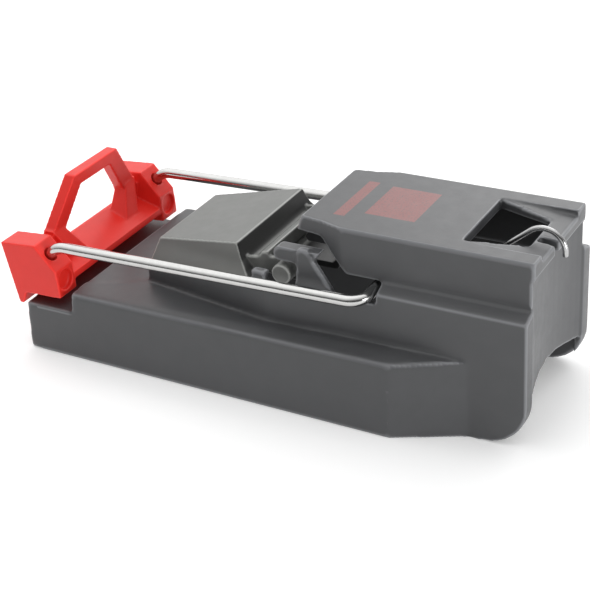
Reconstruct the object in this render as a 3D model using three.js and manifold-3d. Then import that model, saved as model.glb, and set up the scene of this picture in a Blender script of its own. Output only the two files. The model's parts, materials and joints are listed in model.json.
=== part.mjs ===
// Snap mouse trap: a hollow plastic body, a rocking trip pedal, and a sprung wire bar with a plastic striker.
// Millimetres. +X points to the rear housing, +Z up, and Y = 0 is the plane of symmetry.
// Stations along X are counted from the front face of the body; the whole trap is moved at the
// end so that the origin lies under the middle of its bounding box.
import * as THREE from 'three';
import { mergeVertices } from 'three/addons/utils/BufferGeometryUtils.js';
import Module from 'manifold-3d';

const wasm = await Module();
wasm.setup();

// ---- driving dimensions ----
const LENGTH = 118;             // body, front face to rear face
const GAP = 0.3;                // room between neighbours
const WALL = 1.8;               // moulded wall of the body
const SKIN = 1.6;               // moulded wall of the pedal

const DECK = { half: 23.8, draft: 1.2, z: 15.9, rise: 0.7, wingRear: 91.1, wingEnd: 106, endZ: 17.8 };
const LOW_DECK = { rear: 12.9, z: 11.4 };
const COLLAR = { front: 26.2, frontHalf: 12, flareEnd: 60.2, half: 17.9, frontZ: 20.5, rearZ: 24.6 };
const SHELF_Z = 26.4;           // top edge of the side walls beside the axle
const HOOD = { top: 39.9, front: 66.9, frontHalf: 12.1, flareStart: 72.2, flareHalf: 12.9, flareEnd: 77.3,
  half: 14.4, lipOverhang: 1.4 };
const LEDGE = { innerZ: 30, outerZ: 28.6, start: 86 };
const SKIRT_Z = 36.3;           // lower edge of the hood's front lip
const ROOF_HOLE = { front: 101.5, frontHalf: 9.6, rear: 113.6, rearHalf: 5.8 };
const ROOF_RAMP = { half: 10.2, drop: 1.3 };
const REAR = { strip: 3.6, recess: 0.4, sagitta: 2.1, scoopTop: 36.2 };
const ARCH = { footRadius: 9.5, foot: 8.6, top: 10.3 };

const AXLE = { x: 84.5, z: 28.0 };
const WIRE = { radius: 1.25, half: 21.1, bend: 3.4, kneeX: 8.6, kneeZ: 25.75, kneeBend: 6, kneeAngle: 0.93,
  endLength: 6 };             // endLength: from the knee to the tip inside the striker

const PIN = { x: 64.2, z: 28.2, radius: 2.2, end: 17.3, root: 12.4 };
const LUG = { front: 57, rear: 60.6, z: 28.3 };
const HOOK = { front: 62.3, rear: 73, outer: 17, inner: 13.6, lipZ: 31, top: 34.2 };
const WEB = { thickness: 1.7, footFront: 66.8, footRear: 75.8, topFront: 68.4, topRear: 70.3 };

const PEDAL = {
  top: { front: 30.4, frontHalf: 11.6, frontZ: 27.7, rear: 52.2, rearHalf: 14.3, rearZ: 31.9 },
  mid: { front: 28.8, frontHalf: 11.9, frontZ: 24.4, rear: 53.6, rearHalf: 15.2, rearZ: 28.4 },
  rim: { front: 27.2, frontHalf: 12.2, frontZ: 21, rear: 56.2, rearHalf: 17.2, rearZ: 25.1 },
};
const TROUGH = { floorZ: 27.3, rear: 59.1, half: 13.4, lipZ: 30.7 };
const ARM_TOP_Z = 29.4;         // the pedal's side arms, between the trough and the pins
const TAIL = { end: 82.4, half: 10.1, underZ: 34.9, thickness: 1.6, barHalf: 3.6, barZ: 25.2, barRear: 69,
  headFront: 77.2 };

const BLOCK = { inner: 17.6, outer: 23.8 };
const BUTTRESS = { lowZ: 18.4, lowRear: 6.9, lowInner: 7.4, lowOuter: 12.6, front: 1.4,
  topZ: 26.2, topRear: 4.2, topInner: 12.3, topOuter: 16.2 };
const SKIRT_HALF = 18.1;          // the striker's front skirt, from its middle to inside the end blocks
const STRIKER_OVERHANG = 4.8;     // the striker's top edge, ahead of the body
const SPRING_OVERHANG = 2.4;      // the spring's hook, behind the body
const LOOP = { footHalf: 19.9, holeHalf: 14.7, footX: 0.2, footZ: 19.6, topHalf: 8.2, topX: 3.4, topZ: 37,
  depth: 2.9, bar: 2.6 };
const WIRE_HOLE = { radius: 1.6, depth: 3 };
const BOSS_HOLE = { y: 20.8, z: 17.6, radius: 2.4, depth: 1.2 };

const SPRING = { wire: 0.6, coil: 2.6, turns: 6, pitch: 1.35, leaves: -Math.PI / 2, legY: -2.2 };
const SPRING_HOOK = { x: 119.8, endZ: 36.3, y: -2.8, cornerZ: 46.5, radius: 4.4, bendX: 94.1, bendRadius: 2 };
const CAM = { inner: 1.55, outer: 4.2, tooth: 6.3, toothHalf: 1.2, near: 6.6, far: 9.8, restAngle: 3.5 };

// ---- helpers ----
function toSolid(geometry) {
  geometry.deleteAttribute('normal');
  geometry.deleteAttribute('uv');
  const merged = mergeVertices(geometry, 1e-4);
  return new wasm.Manifold(new wasm.Mesh({
    numProp: 3,
    vertProperties: new Float32Array(merged.attributes.position.array),
    triVerts: new Uint32Array(merged.index.array),
  }));
}

function toGeometry(solid) {
  const mesh = solid.getMesh();
  const geometry = new THREE.BufferGeometry();
  geometry.setAttribute('position', new THREE.BufferAttribute(mesh.vertProperties, 3));
  geometry.setIndex(new THREE.BufferAttribute(mesh.triVerts, 1));
  geometry.computeVertexNormals();
  return geometry;
}

const join = (first, ...rest) => rest.reduce((whole, piece) => whole.add(piece), first);
const cut = (first, ...rest) => rest.reduce((whole, piece) => whole.subtract(piece), first);

function box(x0, x1, y0, y1, z0, z1) {
  const geometry = new THREE.BoxGeometry(x1 - x0, y1 - y0, z1 - z0);
  geometry.translate((x0 + x1) / 2, (y0 + y1) / 2, (z0 + z1) / 2);
  return toSolid(geometry);
}

const X = new THREE.Vector3(1, 0, 0);
const Y = new THREE.Vector3(0, 1, 0);
const Z = new THREE.Vector3(0, 0, 1);

// An outline of [a, b] pairs, pushed along one axis from one station to another.
function extrude(outline, from, to, basis) {
  const isShape = outline instanceof THREE.Shape;
  const shape = isShape ? outline : new THREE.Shape(outline.map((point) => new THREE.Vector2(...point)));
  const options = { depth: to - from, bevelEnabled: false, curveSegments: 8 };
  const geometry = new THREE.ExtrudeGeometry(shape, options);
  geometry.translate(0, 0, from);
  geometry.applyMatrix4(new THREE.Matrix4().makeBasis(...basis));
  return toSolid(geometry);
}
const plan = (outline, z0, z1) => extrude(outline, z0, z1, [X, Y, Z]);
const acrossX = (outline, x0, x1) => extrude(outline, x0, x1, [Y, Z, X]);
// A side view in X and Z, given its width along Y.
const acrossY = (outline, y0, y1) => extrude(outline, -y1, -y0, [X, Z, Y.clone().negate()]);

function cylinderY(x, z, radius, y0, y1, sides = 24) {
  const geometry = new THREE.CylinderGeometry(radius, radius, y1 - y0, sides);
  geometry.translate(x, 0, z);
  geometry.translate(0, (y0 + y1) / 2, 0);
  return toSolid(geometry);
}

// Closed body through rings of equal length, each a list of Vector3 that runs anticlockwise from above.
function loft(rings) {
  const count = rings[0].length;
  const positions = rings.flat().flatMap((point) => point.toArray());
  const index = [];
  for (let ring = 0; ring < rings.length - 1; ring += 1) {
    for (let i = 0; i < count; i += 1) {
      const a = ring * count + i;
      const b = ring * count + ((i + 1) % count);
      index.push(a, b, b + count, a, b + count, a + count);
    }
  }
  const outline = rings[0].map((point) => new THREE.Vector2(point.x, point.y));
  const top = (rings.length - 1) * count;
  for (const [a, b, c] of THREE.ShapeUtils.triangulateShape(outline, [])) {
    index.push(a, c, b, top + a, top + b, top + c);
  }
  const geometry = new THREE.BufferGeometry();
  geometry.setAttribute('position', new THREE.Float32BufferAttribute(positions, 3));
  geometry.setIndex(index);
  return toSolid(geometry);
}

// Mirrors the near half of a plan outline, given front to rear as [x, half width], over Y = 0.
function bothSides(half, height) {
  const near = half.map(([x, y]) => new THREE.Vector3(x, -y, height(x)));
  const far = half.map(([x, y]) => new THREE.Vector3(x, y, height(x))).reverse();
  return [...near, ...far];
}

// A path of straight runs with round corners, as stations for a swept wire.
class WirePath extends THREE.Curve {
  constructor(stations) {
    super();
    this.stations = stations;
  }

  getPoint(t, target = new THREE.Vector3()) {
    const place = t * (this.stations.length - 1);
    const i = Math.min(Math.floor(place), this.stations.length - 2);
    return target.lerpVectors(this.stations[i], this.stations[i + 1], place - i);
  }

  getUtoTmapping(u) {
    return u;
  }
}

function roundedPath(corners, radii, steps = 6) {
  const stations = [corners[0]];
  for (let i = 1; i < corners.length - 1; i += 1) {
    const before = corners[i - 1].clone().sub(corners[i]).normalize();
    const after = corners[i + 1].clone().sub(corners[i]).normalize();
    const half = before.angleTo(after) / 2;
    const radius = Array.isArray(radii) ? radii[i - 1] : radii;
    const setback = radius / Math.tan(half);
    const inward = before.clone().add(after).normalize();
    const middle = corners[i].clone().addScaledVector(inward, radius / Math.sin(half));
    const start = corners[i].clone().addScaledVector(before, setback).sub(middle);
    const end = corners[i].clone().addScaledVector(after, setback).sub(middle);
    const turn = new THREE.Vector3().crossVectors(start, end).normalize();
    const sweep = start.angleTo(end);
    for (let k = 0; k <= steps; k += 1) {
      stations.push(start.clone().applyAxisAngle(turn, (sweep * k) / steps).add(middle));
    }
  }
  stations.push(corners[corners.length - 1]);
  return stations;
}

function wire(stations, radius, sides) {
  const section = new THREE.Shape();
  for (let i = 0; i < sides; i += 1) {
    const angle = (i / sides) * Math.PI * 2;
    const point = [radius * Math.cos(angle), radius * Math.sin(angle)];
    if (i === 0) section.moveTo(...point);
    else section.lineTo(...point);
  }
  const geometry = new THREE.ExtrudeGeometry(section, {
    steps: stations.length - 1,
    extrudePath: new WirePath(stations),
    bevelEnabled: false,
  });
  return toSolid(geometry);
}

const vector = (x, y, z) => new THREE.Vector3(x, y, z);
const ordered = (a, b) => [Math.min(a, b), Math.max(a, b)];
const deckZ = (x) => (x < DECK.wingEnd - 1
  ? DECK.z + DECK.rise * (x - LOW_DECK.rear) / (DECK.wingRear - LOW_DECK.rear)
  : DECK.endZ);

// ---- body: deck, collar under the pedal, hood and hook cradles in one moulding ----
function deckBlock(inset, roof) {
  const foot = DECK.half + DECK.draft - inset;
  const edge = DECK.half - inset;
  const rearHalf = COLLAR.half - inset;
  const outline = (half) => [
    [inset, half],
    [DECK.wingRear - inset * 0.2, half],
    [DECK.wingEnd - inset * 0.2, rearHalf],
    [LENGTH - inset, rearHalf],
  ];
  const below = inset > 0 ? -1 : 0;
  return loft([
    bothSides(outline(foot), () => below),
    bothSides(outline(edge), (x) => deckZ(x) - roof),
  ]);
}

function collarBlock(inset, low, top) {
  return plan(bothSides([
    [COLLAR.front + inset, COLLAR.frontHalf - inset],
    [COLLAR.flareEnd, COLLAR.half - inset],
    [LENGTH - inset, COLLAR.half - inset],
  ], () => 0).map((point) => [point.x, point.y]), low, top);
}

function hoodBlock(inset, low, top) {
  return plan(bothSides([
    [HOOD.front + inset, HOOD.frontHalf - inset],
    [HOOD.flareStart, HOOD.flareHalf - inset],
    [HOOD.flareEnd, HOOD.half - inset],
    [LENGTH - inset, HOOD.half - inset],
  ], () => 0).map((point) => [point.x, point.y]), low, top);
}

// The hood's front face leans forward over the pedal.
function hoodLip() {
  return acrossY([
    [HOOD.front - HOOD.lipOverhang, SKIRT_Z],
    [HOOD.front + 1, SKIRT_Z],
    [HOOD.front + 1, HOOD.top],
    [HOOD.front, HOOD.top],
  ], -HOOD.frontHalf, HOOD.frontHalf);
}

// The bevelled ledge where the wide lower walls step in to the hood.
function ledgeBlock(inset) {
  const outer = COLLAR.half - inset;
  const inner = HOOD.half - inset;
  const low = deckZ(LEDGE.start) - 1;
  return acrossX([
    [-outer, low],
    [outer, low],
    [outer, LEDGE.outerZ - inset],
    [inner, LEDGE.innerZ - inset],
    [-inner, LEDGE.innerZ - inset],
    [-outer, LEDGE.outerZ - inset],
  ], LEDGE.start + (inset > 0 ? -1 : 0), LENGTH - inset);
}

// Everything above the parting line that the pedal, the pins and the axle need open.
function collarRelief() {
  const side = [
    [COLLAR.front - 1, COLLAR.frontZ],
    [LUG.front, COLLAR.rearZ],
    [LUG.front, LUG.z],
    [LUG.rear, LUG.z],
    [LUG.rear, PIN.z - PIN.radius - GAP],
    [WEB.footFront, PIN.z - PIN.radius - GAP],
    [WEB.footFront, SHELF_Z],
    [LEDGE.start, SHELF_Z],
    [LEDGE.start, SKIRT_Z],
    [COLLAR.front - 1, SKIRT_Z],
  ];
  return acrossY(side, -DECK.half, DECK.half);
}

function hookCradle(side) {
  const outer = side * HOOK.outer;
  const inner = side * HOOK.inner;
  const webInner = side * (HOOK.outer - WEB.thickness);
  const hook = acrossY([
    [HOOK.front, HOOK.lipZ + 0.7],
    [HOOK.front + 0.7, HOOK.lipZ],
    [WEB.footFront + 1, HOOK.lipZ],
    [HOOK.rear - 1.6, HOOK.lipZ + 1],
    [HOOK.rear, HOOK.top],
    [HOOK.front + 0.9, HOOK.top],
    [HOOK.front, HOOK.top - 0.9],
  ], ...ordered(webInner + side * 1.2, inner));
  const web = acrossY([
    [WEB.footFront, SHELF_Z - 2.5],
    [WEB.footRear, SHELF_Z - 2.5],
    [WEB.footRear, SHELF_Z],
    [WEB.topRear, HOOK.top + 0.6],
    [WEB.topFront, HOOK.top + 0.6],
  ], ...ordered(outer, webInner));
  return join(hook, web);
}

function bodyShell() {
  const shoulder = LOW_DECK.rear + WALL;
  const roofZ = HOOD.top - WALL - ROOF_RAMP.drop * 0.4;      // underside of the roof
  const outer = join(
    cut(deckBlock(0, 0), box(-1, LOW_DECK.rear, -DECK.half - 2, DECK.half + 2, LOW_DECK.z, 30)),
    cut(collarBlock(0, 10, LEDGE.outerZ - 0.5), collarRelief()),
    ledgeBlock(0),
    hoodBlock(0, LEDGE.innerZ - 0.9, HOOD.top),
    hoodLip(),
  );
  const hollow = join(
    cut(deckBlock(WALL, WALL), box(-1, shoulder, -DECK.half - 2, DECK.half + 2, LOW_DECK.z - WALL, 30)),
    collarBlock(WALL, 8, SHELF_Z + 0.8),
    box(LUG.front - 1, WEB.footFront, -HOOD.half - 1, HOOD.half + 1, PIN.z - 4, LUG.z + 1),
    ledgeBlock(WALL),
    hoodBlock(WALL, SHELF_Z - 2, roofZ),
  );
  // The mouth under the hood's front lip, and the channel that leads the axle back to its seat.
  const mouthHalf = HOOD.frontHalf - WALL;
  const mouth = box(HOOD.front - 2, HOOD.flareStart, -mouthHalf, mouthHalf, SHELF_Z - 2, SKIRT_Z);
  const seatTop = AXLE.z + WIRE.radius + GAP;
  const seatRear = AXLE.x + WIRE.radius + GAP;
  const channel = acrossY([
    [HOOD.front - 2, SHELF_Z - 0.5],
    [seatRear, SHELF_Z],
    [seatRear, seatTop],
    [HOOD.flareEnd + 0.4, seatTop],
    [HOOD.flareStart - 0.8, SKIRT_Z],
    [HOOD.front - 2, SKIRT_Z],
  ], -DECK.half, DECK.half);
  const roofRamp = acrossY([
    [ROOF_HOLE.front, HOOD.top + 1],
    [ROOF_HOLE.front, HOOD.top],
    [LENGTH + 1, HOOD.top - ROOF_RAMP.drop],
    [LENGTH + 1, HOOD.top + 1],
  ], -ROOF_RAMP.half, ROOF_RAMP.half);
  const roofHole = plan([
    [ROOF_HOLE.front, -ROOF_HOLE.frontHalf],
    [ROOF_HOLE.rear, -ROOF_HOLE.rearHalf],
    [ROOF_HOLE.rear, ROOF_HOLE.rearHalf],
    [ROOF_HOLE.front, ROOF_HOLE.frontHalf],
  ], roofZ - 0.5, HOOD.top + 1);
  const notch = box(LENGTH - 4, LENGTH + 1, SPRING.legY - 1, SPRING.legY + 1, HOOD.top - 3.6, HOOD.top + 1);
  const rearWall = rearBlock(REAR.recess + WALL, LENGTH - WALL / 2, 0, roofZ);
  const rearScoop = rearBlock(REAR.recess, LENGTH + 1, -1, REAR.scoopTop);
  const shell = join(cut(outer, hollow, mouth, channel), rearWall);
  return join(
    cut(shell, rearScoop, roofRamp, roofHole, notch, rearArch(), rearFeet()),
    hookCradle(-1),
    hookCradle(1),
  );
}

// Upright block behind the rear wall's shallow inward curve, which starts `depth` inside the rear face.
function rearBlock(depth, rear, low, high) {
  const half = COLLAR.half - REAR.strip;
  const steps = 12;
  const curve = Array.from({ length: steps + 1 }, (_, i) => {
    const across = (2 * i) / steps - 1;
    return [LENGTH - depth - REAR.sagitta * (1 - across ** 2), half * across];
  });
  return plan([...curve, [rear, half], [rear, -half]], low, high);
}

function rearArch() {
  const half = COLLAR.half - REAR.strip;
  const arch = new THREE.Shape();
  arch.moveTo(-half, -1);
  arch.lineTo(half, -1);
  arch.lineTo(half, ARCH.foot);
  arch.bezierCurveTo(half * 0.7, ARCH.foot, half * 0.4, ARCH.top, 0, ARCH.top);
  arch.bezierCurveTo(-half * 0.4, ARCH.top, -half * 0.7, ARCH.foot, -half, ARCH.foot);
  return acrossX(arch, LENGTH - REAR.recess - REAR.sagitta - WALL - 1, LENGTH + 1);
}

function rearFeet() {
  const radius = ARCH.footRadius;
  const corner = new THREE.Shape();
  corner.moveTo(LENGTH - radius, -1);
  corner.lineTo(LENGTH + 1, -1);
  corner.lineTo(LENGTH + 1, radius);
  corner.lineTo(LENGTH, radius);
  corner.absarc(LENGTH - radius, radius, radius, 0, -Math.PI / 2, true);
  return acrossY(corner, -DECK.half, DECK.half);
}

// ---- trip pedal: hollow bait block, trough, hinge arms with pins, and the tail under the hood ----
function pedalRing(level, inset, drop) {
  const slope = (level.rearZ - level.frontZ) / (level.rear - level.front);
  return bothSides([
    [level.front + inset, level.frontHalf - inset],
    [level.rear - inset, level.rearHalf - inset],
  ], (x) => level.frontZ + slope * (x - level.front) - drop);
}

function tripPedal() {
  const block = cut(
    loft([pedalRing(PEDAL.rim, 0, 0), pedalRing(PEDAL.mid, 0, 0), pedalRing(PEDAL.top, 0, 0)]),
    loft([
      pedalRing(PEDAL.rim, SKIN, SKIN),
      pedalRing(PEDAL.mid, SKIN, SKIN * 0.7),
      pedalRing(PEDAL.top, SKIN, SKIN),
    ]),
  );
  const floor = acrossY([
    [PEDAL.rim.rear - SKIN - 0.6, TROUGH.floorZ - SKIN],
    [TROUGH.rear - 1.2, TROUGH.floorZ - SKIN],
    [TROUGH.rear, TROUGH.floorZ],
    [TROUGH.rear, TROUGH.lipZ],
    [TROUGH.rear - 1.7, TROUGH.lipZ - 0.5],
    [TROUGH.rear - 2, TROUGH.lipZ - 1.1],
    [TROUGH.rear - 3.6, TROUGH.floorZ + 0.4],
    [PEDAL.mid.rear - SKIN, TROUGH.floorZ],
  ], -TROUGH.half, TROUGH.half);
  const bar = acrossY([
    [TROUGH.rear - 3, TAIL.barZ - SKIN],
    [TAIL.barRear + 0.8, TAIL.barZ - SKIN],
    [TAIL.headFront + SKIN, TAIL.underZ],
    [TAIL.headFront + SKIN, TAIL.underZ + TAIL.thickness],
    [TAIL.headFront, TAIL.underZ + TAIL.thickness],
    [TAIL.barRear, TAIL.barZ],
    [TROUGH.rear, TAIL.barZ],
    [TROUGH.rear - 1, TROUGH.floorZ],
    [TROUGH.rear - 3, TROUGH.floorZ],
  ], -TAIL.barHalf, TAIL.barHalf);
  const tailTop = TAIL.underZ + TAIL.thickness;
  const head = box(TAIL.headFront, TAIL.end, -TAIL.barHalf, TAIL.half, TAIL.underZ, tailTop);
  const sides = [-1, 1].flatMap((side) => {
    const arm = acrossY([
      [PEDAL.rim.rear - 2.4, TROUGH.floorZ - SKIN],
      [PIN.x + 1.6, TROUGH.floorZ - SKIN - 0.6],
      [PIN.x + 2, PIN.z + 1.4],
      [PIN.x - 1, PIN.z + 2],
      [LUG.front + 1.2, ARM_TOP_Z],
      [PEDAL.rim.rear - 2.4, ARM_TOP_Z - 0.8],
    ], ...ordered(side * PIN.root, side * TROUGH.half));
    const pin = cylinderY(PIN.x, PIN.z, PIN.radius, ...ordered(side * (TROUGH.half - 0.5), side * PIN.end));
    return [arm, pin];
  });
  return join(block, floor, bar, head, ...sides);
}

// ---- strike bar: steel wire with the axle as its rear run, and the moulded striker on its front ends ----
function strikeWire() {
  const { half, radius, bend, kneeX, kneeZ, kneeBend } = WIRE;
  const end = wireEnd();
  const path = roundedPath([
    vector(end.x, -half, end.z),
    vector(kneeX, -half, kneeZ),
    vector(AXLE.x, -half, AXLE.z),
    vector(AXLE.x, half, AXLE.z),
    vector(kneeX, half, kneeZ),
    vector(end.x, half, end.z),
  ], [kneeBend, bend, bend, kneeBend]);
  return wire(path, radius, 12);
}

// A point on the bent front end, so far from the knee.
const wireEnd = (reach = WIRE.endLength) => ({
  x: WIRE.kneeX - reach * Math.cos(WIRE.kneeAngle),
  z: WIRE.kneeZ - reach * Math.sin(WIRE.kneeAngle),
});

const loopX = (z) => LOOP.footX + (LOOP.topX - LOOP.footX) * (z - LOOP.footZ) / (LOOP.topZ - LOOP.footZ);

// Trapezoid finger loop in its own leaning plane: rings of [half width, height], front face then rear face.
function fingerLoop() {
  const trapezoid = (footHalf, topHalf, footZ, topZ, setback) => [
    vector(loopX(footZ) + setback, -footHalf, footZ),
    vector(loopX(topZ) + setback, -topHalf, topZ),
    vector(loopX(topZ) + setback, topHalf, topZ),
    vector(loopX(footZ) + setback, footHalf, footZ),
  ];
  const slab = (footHalf, topHalf, footZ, topZ, from, to) => {
    const rings = [from, to].map((setback) => trapezoid(footHalf, topHalf, footZ, topZ, setback));
    const index = [0, 1, 2, 0, 2, 3, 4, 6, 5, 4, 7, 6];
    for (let i = 0; i < 4; i += 1) {
      const j = (i + 1) % 4;
      index.push(i, j + 4, j, i, i + 4, j + 4);
    }
    const geometry = new THREE.BufferGeometry();
    const positions = rings.flat().flatMap((point) => point.toArray());
    geometry.setAttribute('position', new THREE.Float32BufferAttribute(positions, 3));
    geometry.setIndex(index);
    return toSolid(geometry);
  };
  const { footHalf, footZ, topHalf, topZ, holeHalf, depth, bar } = LOOP;
  const outer = slab(footHalf, topHalf, footZ, topZ, 0, depth);
  const hole = slab(holeHalf, topHalf - bar, footZ - 0.1, topZ - 1.23 * bar, -2, depth + 2);
  return cut(outer, hole);
}

// Foot that carries a leg of the finger loop down to the web, flaring inwards and to the rear.
function buttress(side) {
  const ring = (z, rear, a, b) => {
    const [low, high] = ordered(side * a, side * b);
    return [
      vector(BUTTRESS.front, low, z),
      vector(rear, low, z),
      vector(rear, high, z),
      vector(BUTTRESS.front, high, z),
    ];
  };
  return loft([
    ring(BUTTRESS.lowZ, BUTTRESS.lowRear, BUTTRESS.lowInner, BUTTRESS.lowOuter),
    ring(BUTTRESS.topZ, BUTTRESS.topRear, BUTTRESS.topInner, BUTTRESS.topOuter),
  ]);
}

function strikerBar() {
  const blockSide = [
    [-4.8, 25.6], [-2.2, 10.8], [-1.2, 10.6], [0.2, 13.7],
    [10.1, 14.1], [9.8, 20.6], [4.7, 26.4],
  ];
  const plate = [
    [-0.3, 20.2], [-0.6, 17], [3.6, 16.2], [8.8, 15.6], [10, 16.4], [9.7, 17.7], [0.4, 20.4],
  ];
  const skirt = [
    [-0.6, 19.5], [-2.2, 10.8], [-1.2, 10.6], [-1, 16.4], [0.4, 17.6], [0.4, 19.5],
  ];
  const pieces = [
    acrossY(plate, -BLOCK.inner - 0.5, BLOCK.inner + 0.5),
    acrossY(skirt, -SKIRT_HALF, SKIRT_HALF),
    fingerLoop(),
  ];
  const cuts = [];
  for (const side of [-1, 1]) {
    pieces.push(acrossY(blockSide, ...ordered(side * BLOCK.inner, side * BLOCK.outer)));
    pieces.push(buttress(side));
    const length = WIRE.endLength + WIRE_HOLE.depth;
    const middle = wireEnd(WIRE.endLength + GAP - length / 2);
    const slope = new THREE.CylinderGeometry(WIRE_HOLE.radius, WIRE_HOLE.radius, length, 16);
    slope.rotateX(Math.PI / 2);
    slope.rotateY(Math.PI / 2 - WIRE.kneeAngle);
    slope.translate(middle.x, side * WIRE.half, middle.z);
    cuts.push(toSolid(slope));
    const bore = new THREE.CylinderGeometry(BOSS_HOLE.radius, BOSS_HOLE.radius, 2 * BOSS_HOLE.depth, 20);
    bore.rotateZ(Math.PI / 2);
    bore.translate(10, side * BOSS_HOLE.y, BOSS_HOLE.z);
    cuts.push(toSolid(bore));
  }
  return cut(join(...pieces), ...cuts);
}

// ---- torsion spring round the axle, one leg hooked over the rear wall ----
const onCoil = (angle) => [AXLE.x + SPRING.coil * Math.cos(angle), AXLE.z + SPRING.coil * Math.sin(angle)];

function torsionSpring() {
  const { turns, pitch, leaves, legY } = SPRING;
  const perTurn = 12;
  const helix = [];
  for (let i = 0; i <= turns * perTurn; i += 1) {
    const [x, z] = onCoil(leaves - (i / perTurn) * Math.PI * 2);
    helix.push(vector(x, legY + (i / perTurn) * pitch, z));
  }
  const hook = roundedPath([
    vector(SPRING_HOOK.x, SPRING_HOOK.y, SPRING_HOOK.endZ),
    vector(SPRING_HOOK.x, SPRING_HOOK.y, SPRING_HOOK.cornerZ),
    vector(SPRING_HOOK.bendX, legY - 0.1, helix[0].z),
    helix[0],
  ], [SPRING_HOOK.radius, SPRING_HOOK.bendRadius]);
  const last = helix[helix.length - 1];
  const stations = [...hook, ...helix.slice(1), vector(last.x, CAM.far - 1, last.z)];
  return wire(stations, SPRING.wire, 6);
}

// ---- latch cam on the axle, which the pedal's tail holds back when the trap is set ----
function latchCam() {
  const { inner, outer, tooth, toothHalf, near, far, restAngle } = CAM;
  const hub = cylinderY(AXLE.x, AXLE.z, outer, near, far);
  const along = vector(Math.cos(restAngle), 0, Math.sin(restAngle));
  const across = vector(-along.z, 0, along.x);
  const corner = (reach, offset) => [
    AXLE.x + along.x * reach + across.x * offset,
    AXLE.z + along.z * reach + across.z * offset,
  ];
  const nose = acrossY([
    corner(outer - 1.4, -1.6),
    corner(tooth, -toothHalf),
    corner(tooth, toothHalf),
    corner(outer - 1.4, 1.6),
  ], near, far);
  const legHole = cylinderY(...onCoil(SPRING.leaves), SPRING.wire + GAP, near - 1, far + 1, 12);
  return cut(join(hub, nose), cylinderY(AXLE.x, AXLE.z, inner, near - 1, far + 1), legHole);
}

// ---- assembly ----
const GREY = new THREE.MeshStandardMaterial({ color: 0x5a5a5d, roughness: 0.55, metalness: 0 });
const LIGHT_GREY = new THREE.MeshStandardMaterial({ color: 0x8b8c88, roughness: 0.5, metalness: 0 });
const RED = new THREE.MeshStandardMaterial({ color: 0xe2322b, roughness: 0.4, metalness: 0 });
const STEEL = new THREE.MeshStandardMaterial({ color: 0xd6d8d8, roughness: 0.22, metalness: 1 });

function node(name, solid, material) {
  const mesh = new THREE.Mesh(toGeometry(solid), material);
  mesh.name = name;
  return mesh;
}

const base = new THREE.Group();
base.add(node('body_shell', bodyShell(), GREY));
base.add(node('torsion_spring', torsionSpring(), STEEL));

const pedal = new THREE.Group();
pedal.add(node('trip_pedal', tripPedal(), LIGHT_GREY));

const strike = new THREE.Group();
strike.add(node('strike_wire', strikeWire(), STEEL));
strike.add(node('striker_bar', strikerBar(), RED));
strike.add(node('latch_cam', latchCam(), GREY));

const group = new THREE.Group();
group.name = 'snap_mouse_trap';
group.add(base, pedal, strike);
group.position.x = -(LENGTH + SPRING_OVERHANG - STRIKER_OVERHANG) / 2;
export default group;
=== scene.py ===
"""Looks of the snap mouse trap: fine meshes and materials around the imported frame."""

import json
import math

import bmesh
import bpy
import numpy
from mathutils import Matrix, Vector


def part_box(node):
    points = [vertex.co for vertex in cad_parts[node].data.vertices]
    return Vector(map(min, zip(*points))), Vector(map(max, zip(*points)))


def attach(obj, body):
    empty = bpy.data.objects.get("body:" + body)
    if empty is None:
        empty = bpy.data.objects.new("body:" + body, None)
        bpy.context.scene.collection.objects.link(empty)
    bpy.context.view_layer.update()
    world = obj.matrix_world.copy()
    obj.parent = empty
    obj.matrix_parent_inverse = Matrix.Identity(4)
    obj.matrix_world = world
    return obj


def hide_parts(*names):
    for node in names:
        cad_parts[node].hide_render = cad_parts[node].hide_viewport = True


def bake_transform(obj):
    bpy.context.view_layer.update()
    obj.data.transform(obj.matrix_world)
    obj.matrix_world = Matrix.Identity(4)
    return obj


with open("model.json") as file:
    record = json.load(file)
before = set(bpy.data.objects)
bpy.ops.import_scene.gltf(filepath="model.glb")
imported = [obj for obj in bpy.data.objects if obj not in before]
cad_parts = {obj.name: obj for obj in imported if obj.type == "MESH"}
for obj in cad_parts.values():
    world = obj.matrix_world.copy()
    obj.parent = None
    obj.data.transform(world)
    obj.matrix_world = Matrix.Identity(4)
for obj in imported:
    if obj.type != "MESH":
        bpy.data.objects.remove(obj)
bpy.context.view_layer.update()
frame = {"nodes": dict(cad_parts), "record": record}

# ---- measures: shapes are made in millimetres, with x counted from the body's front face ----
MM = 0.001
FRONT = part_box("body_shell")[0].x / MM
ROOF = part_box("body_shell")[1].z / MM
JOINTS = {joint["name"]: joint for joint in frame["record"]["behaviour"]["joints"]}
AXLE = Vector(JOINTS["strike_swing"]["pos_m"]) / MM - Vector((FRONT, 0, 0))

FLAT_ANGLE = math.radians(0.5)  # faces that turn by less than this are merged
SMOOTHING = 0.5                 # how far each smoothing round moves a point
NORMAL_WEIGHT = 60              # how much large faces rule the shading of their corners

CAMERA = {"place": (0.143615, -0.237342, 0.168591), "azimuth": 31.359, "elevation": 29.271, "roll": -4.4,
          "lens": 87.82, "sensor": 36}

scene = bpy.context.scene
collection = scene.collection


# ---- mesh helpers ----
def shown(mesh_or_curve, name):
    piece = bpy.data.objects.new(name, mesh_or_curve)
    collection.objects.link(piece)
    return piece


def from_faces(name, points, faces):
    """A closed mesh object with its faces turned outwards."""
    shape = bmesh.new()
    corners = [shape.verts.new(point) for point in points]
    for face in faces:
        shape.faces.new([corners[i] for i in face])
    bmesh.ops.recalc_face_normals(shape, faces=shape.faces)
    mesh = bpy.data.meshes.new(name)
    shape.to_mesh(mesh)
    shape.free()
    return shown(mesh, name)


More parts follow.
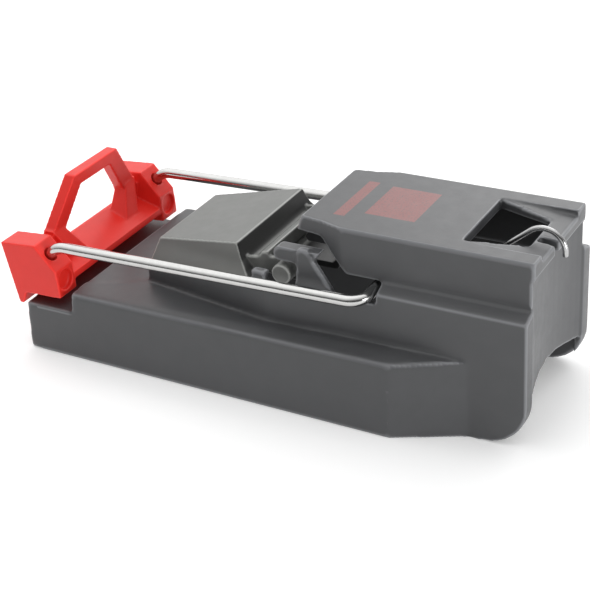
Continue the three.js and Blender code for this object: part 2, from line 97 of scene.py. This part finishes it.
def solid_of(node, name):
    """A CAD node's closed mesh, in millimetres from the body's front face."""
    shape = bmesh.new()
    shape.from_mesh(frame["nodes"][node].data)
    bmesh.ops.scale(shape, vec=(1 / MM,) * 3, verts=shape.verts)
    bmesh.ops.translate(shape, vec=(-FRONT, 0, 0), verts=shape.verts)
    bmesh.ops.remove_doubles(shape, verts=shape.verts, dist=1e-4)
    mesh = bpy.data.meshes.new(name)
    shape.to_mesh(mesh)
    shape.free()
    return shown(mesh, name)


def settle(piece):
    """Applies the piece's modifiers."""
    graph = bpy.context.evaluated_depsgraph_get()
    seen = piece.evaluated_get(graph)
    mesh = bpy.data.meshes.new_from_object(seen, preserve_all_data_layers=True, depsgraph=graph)
    piece.modifiers.clear()
    piece.data = mesh


def smooth(piece, rounds, group=""):
    """Smooths the whole piece, or as much of it as a vertex group says."""
    modifier = piece.modifiers.new("smooth", "SMOOTH")
    modifier.factor = SMOOTHING
    modifier.iterations = rounds
    modifier.vertex_group = group


def smooth_more(piece, rounds, weight):
    """Rounds the edges further where weight(point) is above 0."""
    group = piece.vertex_groups.new(name="rounder")
    for vertex in piece.data.vertices:
        amount = weight(vertex.co)
        if amount > 0:
            group.add([vertex.index], amount, "REPLACE")
    smooth(piece, rounds, group.name)
    settle(piece)


def mark_edges(piece):
    """Stores how sharply the surface turns outwards at each point: 0 on flats, below 0 in hollows."""
    mesh = piece.data
    places, normals = numpy.empty((2, len(mesh.vertices) * 3))
    ends = numpy.empty(len(mesh.edges) * 2, dtype=int)
    mesh.vertices.foreach_get("co", places)
    mesh.vertex_normals.foreach_get("vector", normals)
    mesh.edges.foreach_get("vertices", ends)
    places, normals = places.reshape(-1, 3), normals.reshape(-1, 3)
    first, second = ends.reshape(-1, 2).T
    along = places[first] - places[second]
    along /= numpy.linalg.norm(along, axis=1)[:, None]
    turn = numpy.zeros(len(places))
    numpy.add.at(turn, first, (normals[first] * along).sum(axis=1))
    numpy.add.at(turn, second, -(normals[second] * along).sum(axis=1))
    marks = mesh.attributes.new("edge", "FLOAT", "POINT")
    marks.data.foreach_set("value", turn / numpy.bincount(ends))


def thin_flats(piece):
    """Merges the small faces of each flat area."""
    flat = piece.modifiers.new("flat", "DECIMATE")
    flat.decimate_type = "DISSOLVE"
    flat.angle_limit = FLAT_ANGLE
    settle(piece)


def moulded(node, name, voxel, rounds, rounder=None):
    """A CAD node's solid with the soft edges of a moulding, in metres in the row frame."""
    piece = solid_of(node, name)
    remesh = piece.modifiers.new("remesh", "REMESH")
    remesh.mode = "VOXEL"
    remesh.voxel_size = voxel
    smooth(piece, rounds)
    settle(piece)
    if rounder:
        smooth_more(piece, *rounder)
    mark_edges(piece)
    thin_flats(piece)
    piece.modifiers.new("triangles", "TRIANGULATE")
    settle(piece)
    piece.data.shade_smooth()
    piece.modifiers.new("normals", "WEIGHTED_NORMAL").weight = NORMAL_WEIGHT
    settle(piece)
    return to_metres(piece)


def to_metres(piece):
    piece.data.transform(Matrix.Translation((FRONT * MM, 0, 0)) @ Matrix.Scale(MM, 4))
    return piece


# ---- wires ----
TIP_RADIUS = 0.55               # of a wire's radius, at its very end
TIP_LENGTH = 0.35               # of a wire's radius, over which its end narrows


def rounded_path(corners, radii, step=0.12):
    """Straight runs with round corners, as stations no more than about `step` radians apart in a bend."""
    corners = [Vector(corner) for corner in corners]
    stations = [corners[0]]
    for before, corner, after, radius in zip(corners, corners[1:], corners[2:], radii):
        back, ahead = (before - corner).normalized(), (after - corner).normalized()
        half = back.angle(ahead) / 2
        setback = radius / math.tan(half)
        middle = corner + (back + ahead).normalized() * (radius / math.sin(half))
        start, end = corner + back * setback - middle, corner + ahead * setback - middle
        axis, sweep = start.cross(end).normalized(), start.angle(end)
        count = max(2, math.ceil(sweep / step))
        stations += [Matrix.Rotation(sweep * k / count, 3, axis) @ start + middle for k in range(count + 1)]
    stations.append(corners[-1])
    return stations


def tube(name, stations, radius, sides):
    """A round wire through the stations, its two ends slightly rounded."""
    tip = TIP_RADIUS * radius
    shoulder = TIP_LENGTH * radius
    tangents = [(b - a).normalized() for a, b in zip(stations, stations[1:])]
    along = [tangents[0], *[(a + b).normalized() for a, b in zip(tangents, tangents[1:])], tangents[-1]]
    ring_at = [
        (stations[0], along[0], tip),
        *zip(stations, along, [radius] * len(stations)),
        (stations[-1], along[-1], tip),
    ]
    ring_at[1] = (stations[0] + along[0] * shoulder, along[0], radius)
    ring_at[-2] = (stations[-1] - along[-1] * shoulder, along[-1], radius)
    side = along[0].orthogonal().normalized()
    points, faces = [], []
    for place, direction, reach in ring_at:
        side = (side - direction * side.dot(direction)).normalized()
        other = direction.cross(side)
        for i in range(sides):
            angle = 2 * math.pi * i / sides
            points.append(place + (side * math.cos(angle) + other * math.sin(angle)) * reach)
    for ring in range(len(ring_at) - 1):
        for i in range(sides):
            a, b = ring * sides + i, ring * sides + (i + 1) % sides
            faces.append((a, b, b + sides, a + sides))
    faces += [tuple(range(sides)), tuple(range(len(points) - sides, len(points)))]
    wire = to_metres(from_faces(name, points, faces))
    wire.data.shade_smooth()
    return wire


# ---- material helpers ----
DRIFT = 0.035                   # how far a plastic's colour drifts to each side
EDGE_TURNS = (0.03, 0.1)        # the edge marks where the painted highlight starts and is complete
EDGE_HIGHLIGHT = 0.01               # added to the colour of an edge as a painted highlight
SMOOTHER, ROUGHER = 0.03, 0.04  # how far a roughness drifts down and up
COARSE = 0.13                   # scale of the coarse grain over that of the fine one
TARNISH = 0.93                  # brightness of tarnished steel over that of clean steel


def new_material(name):
    material = bpy.data.materials.new(name)
    material.use_nodes = True
    tree = material.node_tree
    shader = tree.nodes["Principled BSDF"]
    place = tree.nodes.new("ShaderNodeTexCoord").outputs["Object"]
    return material, tree, shader, place


def noise(tree, place, scale, detail=3.0, roughness=0.5, stretch=None):
    """Noise whose grain is about 1/scale metres across."""
    if stretch:
        mapping = tree.nodes.new("ShaderNodeMapping")
        mapping.inputs["Scale"].default_value = stretch
        tree.links.new(place, mapping.inputs["Vector"])
        place = mapping.outputs["Vector"]
    texture = tree.nodes.new("ShaderNodeTexNoise")
    texture.inputs["Scale"].default_value = scale
    texture.inputs["Detail"].default_value = detail
    texture.inputs["Roughness"].default_value = roughness
    tree.links.new(place, texture.inputs["Vector"])
    return texture.outputs["Fac"]


def spread(tree, value, low, high, to_low, to_high):
    """Maps a value's range from low..high to to_low..to_high, held at its ends."""
    node = tree.nodes.new("ShaderNodeMapRange")
    for socket, number in (("From Min", low), ("From Max", high), ("To Min", to_low), ("To Max", to_high)):
        node.inputs[socket].default_value = number
    tree.links.new(value, node.inputs["Value"])
    return node.outputs["Result"]


def blend_colours(tree, factor, first, second):
    node = tree.nodes.new("ShaderNodeMix")
    node.data_type = "RGBA"
    for socket, colour in ((node.inputs[6], first), (node.inputs[7], second)):
        if isinstance(colour, bpy.types.NodeSocket):
            tree.links.new(colour, socket)
        else:
            socket.default_value = (*colour, 1)
    tree.links.new(factor, node.inputs["Factor"])
    return node.outputs[2]


def times(tree, first, second):
    node = tree.nodes.new("ShaderNodeMath")
    node.operation = "MULTIPLY"
    tree.links.new(first, node.inputs[0])
    tree.links.new(second, node.inputs[1])
    return node.outputs[0]


def axes(tree, vector):
    """The x, y and z parts of a vector, and the size of its y part."""
    split = tree.nodes.new("ShaderNodeSeparateXYZ")
    tree.links.new(vector, split.inputs[0])
    size = tree.nodes.new("ShaderNodeMath")
    size.operation = "ABSOLUTE"
    tree.links.new(split.outputs["Y"], size.inputs[0])
    return (*split.outputs, size.outputs[0])


def inside(tree, value, low, high, soft):
    """1 between low and high, in metres, falling to 0 over `soft` outside them."""
    rise = spread(tree, value, low - soft, low, 0, 1)
    fall = spread(tree, value, high, high + soft, 1, 0)
    return times(tree, rise, fall)


def over_colour(material, factor, colour):
    """Lays a colour over what the material has, where the factor is 1."""
    tree = material.node_tree
    socket = tree.nodes["Principled BSDF"].inputs["Base Color"]
    tree.links.new(blend_colours(tree, factor, socket.links[0].from_socket, colour), socket)


def station(x):
    """A distance from the body's front face in millimetres, as a row-frame x in metres."""
    return (FRONT + x) * MM


def bump(tree, shader, height, strength, distance, before=None):
    node = tree.nodes.new("ShaderNodeBump")
    node.inputs["Strength"].default_value = strength
    node.inputs["Distance"].default_value = distance
    tree.links.new(height, node.inputs["Height"])
    if before:
        tree.links.new(before, node.inputs["Normal"])
    tree.links.new(node.outputs["Normal"], shader.inputs["Normal"])
    return node.outputs["Normal"]


def shades(colour, *gains):
    return [tuple(channel * gain for channel in colour) for gain in gains]


def moulded_plastic(name, colour, roughness, grain, highlight_gain, gloss=0.5):
    """Injection-moulded plastic: a fine grain, slow colour drift, and edges lightened by a painted highlight.
    """
    material, tree, shader, place = new_material(name)
    shader.inputs["Specular IOR Level"].default_value = gloss
    drift = spread(tree, noise(tree, place, 160, 4, 0.6), 0.35, 0.65, 0, 1)
    body = blend_colours(tree, drift, *shades(colour, 1 - DRIFT, 1 + DRIFT))
    marked = tree.nodes.new("ShaderNodeAttribute")
    marked.attribute_name = "edge"
    edge = spread(tree, marked.outputs["Fac"], *EDGE_TURNS, 0, 1)
    # painted highlight: edges are lightened in the colour, standing in for the light that rounded edges catch
    painted_highlight = tuple(channel * highlight_gain + EDGE_HIGHLIGHT for channel in colour)
    tree.links.new(blend_colours(tree, edge, body, painted_highlight), shader.inputs["Base Color"])
    smears = noise(tree, place, 420, 5, 0.65)
    rough = spread(tree, smears, 0.3, 0.7, roughness - SMOOTHER, roughness + ROUGHER)
    tree.links.new(rough, shader.inputs["Roughness"])
    fine = noise(tree, place, grain, 2, 0.5)
    coarse = noise(tree, place, grain * COARSE, 2, 0.5)
    under = bump(tree, shader, coarse, 0.05, 0.0002)
    bump(tree, shader, fine, 0.3, 0.00004, under)
    return material


def drawn_steel(name, colour, roughness, stretch):
    """Bright drawn wire: fine lines along its length, with faint tarnish."""
    material, tree, shader, place = new_material(name)
    shader.inputs["Metallic"].default_value = 1.0
    tarnish = spread(tree, noise(tree, place, 500, 4, 0.6), 0.35, 0.7, 0, 1)
    tree.links.new(blend_colours(tree, tarnish, *shades(colour, 1, TARNISH)), shader.inputs["Base Color"])
    lines = noise(tree, place, 2600, 3, 0.6, stretch)
    rough = spread(tree, lines, 0.3, 0.7, roughness - SMOOTHER, roughness + ROUGHER)
    tree.links.new(rough, shader.inputs["Roughness"])
    bump(tree, shader, lines, 0.12, 0.00004)
    return material


# ---- materials ----
RED_GLOW = 0.1                  # painted glow: emission that stands in for the light that passes through thin red plastic
# the fifth number is the gain of each plastic's painted edge highlight
BODY_PLASTIC = moulded_plastic("body_plastic", (0.063, 0.0645, 0.068), 0.4, 4200, 2.8)
PEDAL_PLASTIC = moulded_plastic("pedal_plastic", (0.146, 0.149, 0.142), 0.42, 4200, 2.1)
RED_PLASTIC = moulded_plastic("striker_plastic", (0.66, 0.02, 0.013), 0.4, 4500, 1.2, 0.35)
RED_SHADER = RED_PLASTIC.node_tree.nodes["Principled BSDF"]
# painted glow: the red plastic gives off a little light of its own, so it stays bright in shade
RED_SHADER.inputs["Emission Color"].default_value = (1, 0.04, 0.03, 1)
RED_SHADER.inputs["Emission Strength"].default_value = RED_GLOW
CAM_PLASTIC = moulded_plastic("cam_plastic", (0.08, 0.08, 0.08), 0.45, 7000, 1.4)
WIRE_STEEL = drawn_steel("wire_steel", (0.56, 0.56, 0.55), 0.13, (0.04, 1, 1))
SPRING_STEEL = drawn_steel("spring_steel", (0.45, 0.45, 0.45), 0.2, (1, 1, 1))


# ---- print and painted shade on the plastic ----
PRINT_RED = (0.22, 0.07, 0.065)
PRINT_BARS = [((72.8, 75.2), (-9, 7.6)), ((78.6, 89.6), (-6.4, 7))]     # each bar's extent in x and in y
PRINT_BLUR = 0.1
PRINT_DEPTH = (0.25, 0.15)      # below the roof: none deeper than the first, complete above the second
# painted shade: near black laid on the catch under the hood, where it sits in deep shade
CATCH_SHADE = {"colour": (0.012, 0.012, 0.012), "front": 59.6, "blur": 0.6, "half": 11.2, "half_blur": 0.4}
# painted shade: near black laid on the block's rear wall, which the hood shades
WALL_SHADE = {"colour": (0.02, 0.02, 0.02), "facing": (0.4, 0.85), "rear": 55, "blur": 2}


def print_bars():
    """Plain red bars printed on the roof of the hood, thin in places."""
    tree = BODY_PLASTIC.node_tree
    place = tree.nodes["Texture Coordinate"].outputs["Object"]
    x, y, z, _ = axes(tree, place)
    blur = PRINT_BLUR * MM
    low, high = ((ROOF - depth) * MM for depth in PRINT_DEPTH)
    roof = spread(tree, z, low, high, 0, 1)
    worn = spread(tree, noise(tree, place, 2500, 3, 0.6), 0.3, 0.48, 0.35, 1)
    for (front, rear), (near, far) in PRINT_BARS:
        along = inside(tree, x, station(front), station(rear), blur)
        bar = times(tree, along, inside(tree, y, near * MM, far * MM, blur))
        over_colour(BODY_PLASTIC, times(tree, times(tree, bar, roof), worn), PRINT_RED)


def paint_pedal_shade():
    """Paints shade on the pedal: the catch under the hood and the rear wall of the block, both darkened where
    they lie in shade.
    """
    tree = PEDAL_PLASTIC.node_tree
    coordinates = tree.nodes["Texture Coordinate"]
    x, _, _, off_centre = axes(tree, coordinates.outputs["Object"])
    half = CATCH_SHADE["half"] * MM
    # painted shade: the catch behind its front station and near the middle is coloured near black
    behind = spread(tree, x, station(CATCH_SHADE["front"]), station(CATCH_SHADE["front"] + CATCH_SHADE["blur"]), 0, 1)
    catch = times(tree, behind, spread(tree, off_centre, half, half + CATCH_SHADE["half_blur"] * MM, 1, 0))
    over_colour(PEDAL_PLASTIC, catch, CATCH_SHADE["colour"])
    # painted shade: the block's rear wall is coloured near black where it faces +x under the hood
    facing = spread(tree, axes(tree, coordinates.outputs["Normal"])[0], *WALL_SHADE["facing"], 0, 1)
    block = spread(tree, x, station(WALL_SHADE["rear"]), station(WALL_SHADE["rear"] + WALL_SHADE["blur"]), 1, 0)
    over_colour(PEDAL_PLASTIC, times(tree, facing, block), WALL_SHADE["colour"])


print_bars()
paint_pedal_shade()


# ---- body ----
RIM = {"start": 19.5, "full": 21, "above": 11}         # the outer deck and wing edges
CORNER = {"front": 3, "out": 21.5}                     # the two front corners


def rim_and_corners(point):
    """1 on the rim and the corners, falling to 0 away from the rim."""
    out = abs(point.y)
    rim = min(1, max(0, (out - RIM["start"]) / (RIM["full"] - RIM["start"]))) if point.z > RIM["above"] else 0
    corner = 1 if point.x < CORNER["front"] and out > CORNER["out"] else 0
    return max(rim, corner)


def make_body():
    piece = moulded("body_shell", "body_moulding", voxel=0.38, rounds=7, rounder=(18, rim_and_corners))
    piece.data.materials.append(BODY_PLASTIC)
    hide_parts("body_shell")
    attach(piece, "base")


# ---- pedal ----
def make_pedal():
    piece = moulded("trip_pedal", "pedal_moulding", voxel=0.24, rounds=9)
    piece.data.materials.append(PEDAL_PLASTIC)
    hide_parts("trip_pedal")
    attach(piece, "pedal")


# ---- striker ----
def make_striker():
    piece = moulded("striker_bar", "striker_moulding", voxel=0.23, rounds=5)
    piece.data.materials.append(RED_PLASTIC)
    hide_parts("striker_bar")
    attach(piece, "strike")


# ---- strike wire ----
WIRE = {"radius": 1.25, "half": 21.1, "bend": 3.4, "knee_x": 8.6, "knee_z": 25.75, "knee_bend": 6,
        "knee_angle": 0.93, "end": 6, "sides": 32}


def make_wire():
    half, knee_x, knee_z = WIRE["half"], WIRE["knee_x"], WIRE["knee_z"]
    run = -math.cos(WIRE["knee_angle"]) * WIRE["end"]
    fall = -math.sin(WIRE["knee_angle"]) * WIRE["end"]
    near = [(knee_x + run, -half, knee_z + fall), (knee_x, -half, knee_z), (AXLE.x, -half, AXLE.z)]
    far = [(x, -y, z) for x, y, z in reversed(near)]
    bends = [WIRE["knee_bend"], WIRE["bend"], WIRE["bend"], WIRE["knee_bend"]]
    piece = tube("strike_rod", rounded_path([*near, *far], bends), WIRE["radius"], WIRE["sides"])
    piece.data.materials.append(WIRE_STEEL)
    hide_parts("strike_wire")
    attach(piece, "strike")


# ---- torsion spring ----
SPRING = {"wire": 0.56, "coil": 2.6, "turns": 6, "pitch": 1.35, "leg_y": -2.2, "end_y": 8.8, "sides": 16,
          "steps": 48, "leaves": -math.pi / 2}
HOOK = {"x": 119.8, "end_z": 36.3, "y": -2.8, "corner_z": 46.5, "radius": 4.4, "bend_x": 94.1,
        "shift": 0.1, "bend_radius": 2}


def on_coil(turns):
    """A point on the coil's middle line, a number of turns from where the hooked leg leaves it."""
    angle = SPRING["leaves"] - 2 * math.pi * turns
    across, up = SPRING["coil"] * math.cos(angle), SPRING["coil"] * math.sin(angle)
    return Vector((AXLE.x + across, SPRING["leg_y"] + SPRING["pitch"] * turns, AXLE.z + up))


def make_spring():
    steps = SPRING["steps"]
    coil = [on_coil(i / steps) for i in range(SPRING["turns"] * steps + 1)]
    hook = rounded_path([
        (HOOK["x"], HOOK["y"], HOOK["end_z"]),
        (HOOK["x"], HOOK["y"], HOOK["corner_z"]),
        (HOOK["bend_x"], SPRING["leg_y"] - HOOK["shift"], coil[0].z),
        coil[0],
    ], [HOOK["radius"], HOOK["bend_radius"]])
    end = Vector((coil[-1].x, SPRING["end_y"], coil[-1].z))
    piece = tube("spring_coil", [*hook, *coil[1:], end], SPRING["wire"], SPRING["sides"])
    piece.data.materials.append(SPRING_STEEL)
    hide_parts("torsion_spring")
    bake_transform(piece)


# ---- latch cam ----
def make_cam():
    piece = moulded("latch_cam", "latch_moulding", voxel=0.14, rounds=4)
    piece.data.materials.append(CAM_PLASTIC)
    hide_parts("latch_cam")
    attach(piece, "strike")


# ---- studio ----
BRIGHTEST = (-0.35, 0.35, 0.9)  # the way to the brightest part of the sky
SKY_TURNS = (0.05, 0.85)        # nearness to BRIGHTEST where the sky starts and stops getting brighter
SKY_STRENGTH = (0.12, 1.6)
FLOOR_SIZE = 6
FLOOR_GLOW = 0.2                # keeps the paper near white where the trap shades it
LIGHTS = [                      # name, place, target, size, power
    ("back", (-0.1, 0.9, 0.5), (0, 0, 0), 0.6, 2),
    ("right", (0.9, -0.1, 0.1), (0, 0, 0.03), 0.3, 4.6),
]


def make_floor():
    """White paper that glows a little."""
    material, tree, shader, place = new_material("floor_paper")
    tint = blend_colours(tree, noise(tree, place, 6, 2), (0.86, 0.86, 0.86), (0.9, 0.9, 0.9))
    tree.links.new(tint, shader.inputs["Base Color"])
    shader.inputs["Roughness"].default_value = 0.9
    shader.inputs["Emission Color"].default_value = (1, 1, 1, 1)
    shader.inputs["Emission Strength"].default_value = FLOOR_GLOW
    bpy.ops.mesh.primitive_plane_add(size=FLOOR_SIZE, location=(0, 0, 0))
    floor = bpy.context.object
    floor.name = "floor"
    floor.data.materials.append(material)


def make_light(name, place, target, size, power):
    data = bpy.data.lights.new(name, "AREA")
    data.size = size
    data.energy = power
    light = shown(data, name)
    light.location = place
    light.rotation_euler = (Vector(place) - Vector(target)).to_track_quat("Z", "Y").to_euler()


def make_sky():
    """Dark at the horizon and bright overhead, as in a white tent lit from above."""
    world = bpy.data.worlds.new("studio")
    world.use_nodes = True
    tree = world.node_tree
    height = tree.nodes.new("ShaderNodeVectorMath")
    height.operation = "DOT_PRODUCT"
    tree.links.new(tree.nodes.new("ShaderNodeTexCoord").outputs["Generated"], height.inputs[0])
    height.inputs[1].default_value = Vector(BRIGHTEST).normalized()
    strength = spread(tree, height.outputs["Value"], *SKY_TURNS, *SKY_STRENGTH)
    tree.links.new(strength, tree.nodes["Background"].inputs["Strength"])
    tree.nodes["Background"].inputs["Color"].default_value = (1, 1, 1, 1)
    scene.world = world


def make_studio():
    make_floor()
    make_sky()
    for light in LIGHTS:
        make_light(*light)
    scene.view_settings.view_transform = "Standard"


def make_camera():
    azimuth, elevation, roll = (math.radians(CAMERA[key]) for key in ("azimuth", "elevation", "roll"))
    back = Vector((math.sin(azimuth) * math.cos(elevation), -math.cos(azimuth) * math.cos(elevation),
                   math.sin(elevation)))
    level = (-back).cross(Vector((0, 0, 1))).normalized()
    upright = level.cross(-back)
    right = level * math.cos(roll) + upright * math.sin(roll)
    up = upright * math.cos(roll) - level * math.sin(roll)
    data = bpy.data.cameras.new("camera")
    data.lens = CAMERA["lens"]
    data.sensor_width = CAMERA["sensor"]
    data.clip_start, data.clip_end = 0.01, 10
    camera = shown(data, "camera")
    turned = Matrix((right, up, back)).transposed().to_4x4()
    camera.matrix_world = Matrix.Translation(CAMERA["place"]) @ turned
    scene.camera = camera


make_camera()
make_studio()
make_body()
make_pedal()
make_striker()
make_wire()
make_spring()
make_cam()
